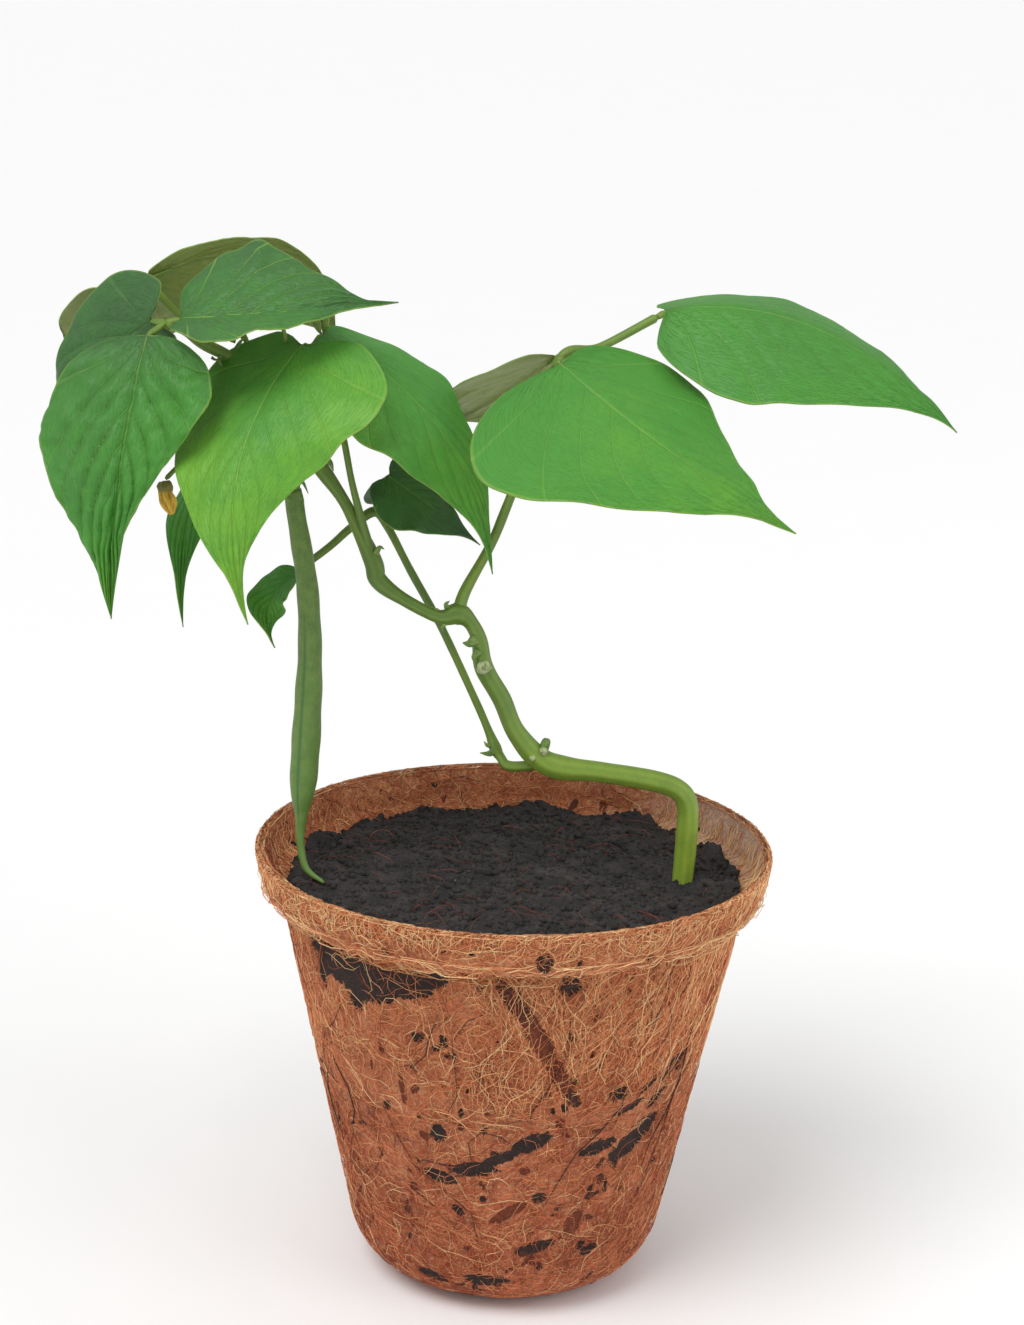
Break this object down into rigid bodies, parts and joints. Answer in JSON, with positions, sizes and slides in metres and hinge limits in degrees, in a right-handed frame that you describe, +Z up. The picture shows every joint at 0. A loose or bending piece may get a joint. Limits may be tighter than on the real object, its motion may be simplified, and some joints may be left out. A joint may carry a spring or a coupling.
{
  "type": "potted bean plant",
  "caption": "Young climbing bean plant with trifoliate leaves and a hanging pod, rooted in compost in a tapered coir fibre pot with a stepped collar.",
  "frame": {"origin": "middle of the pot's flat foot, on the surface that the pot stands on", "axes": "+Z up along the pot's axis, +X towards the side where the stem is rooted, -Y towards the front, where the largest leaves face"},
  "size_m": [0.2385, 0.14, 0.2825],
  "materials": {
    "coir": "pressed coconut fibre, matt orange-brown with pale loose fibres and dark specks",
    "compost": "moist crumbly peat compost, near black, matt",
    "stem": "living green stem skin, satin, slightly ridged",
    "leaf": "living bean leaf, soft satin upper side with sunken veins, paler olive underside",
    "pod": "green bean pod skin, finely downy, satin",
    "petal": "withered petal, papery yellow"
  },
  "bodies": {
    "root": {"coir_pot": "coir", "potting_soil": "compost", "main_stem": "stem", "lower_petiole": "stem", "right_petiole": "stem", "centre_petiole": "stem", "left_petiole": "stem", "top_petiole": "stem", "growing_tip": "stem", "side_shoot": "stem", "bud_stalk": "stem", "flower_stalk": "stem", "pod_stalk": "stem", "bean_pod": "pod", "withered_flower": "petal", "right_leaf_end": "leaf", "right_leaf_front": "leaf", "right_leaf_back": "leaf", "centre_leaf_front": "leaf", "centre_leaf_right": "leaf", "centre_leaf_left": "leaf", "left_leaf_front": "leaf", "left_leaf_top": "leaf", "left_leaf_inner": "leaf", "top_leaf_back": "leaf", "top_leaf_side": "leaf", "top_leaf_far": "leaf", "lower_leaf_right": "leaf", "lower_leaf_end": "leaf", "lower_leaf_back": "leaf"}
  },
  "joints": []
}
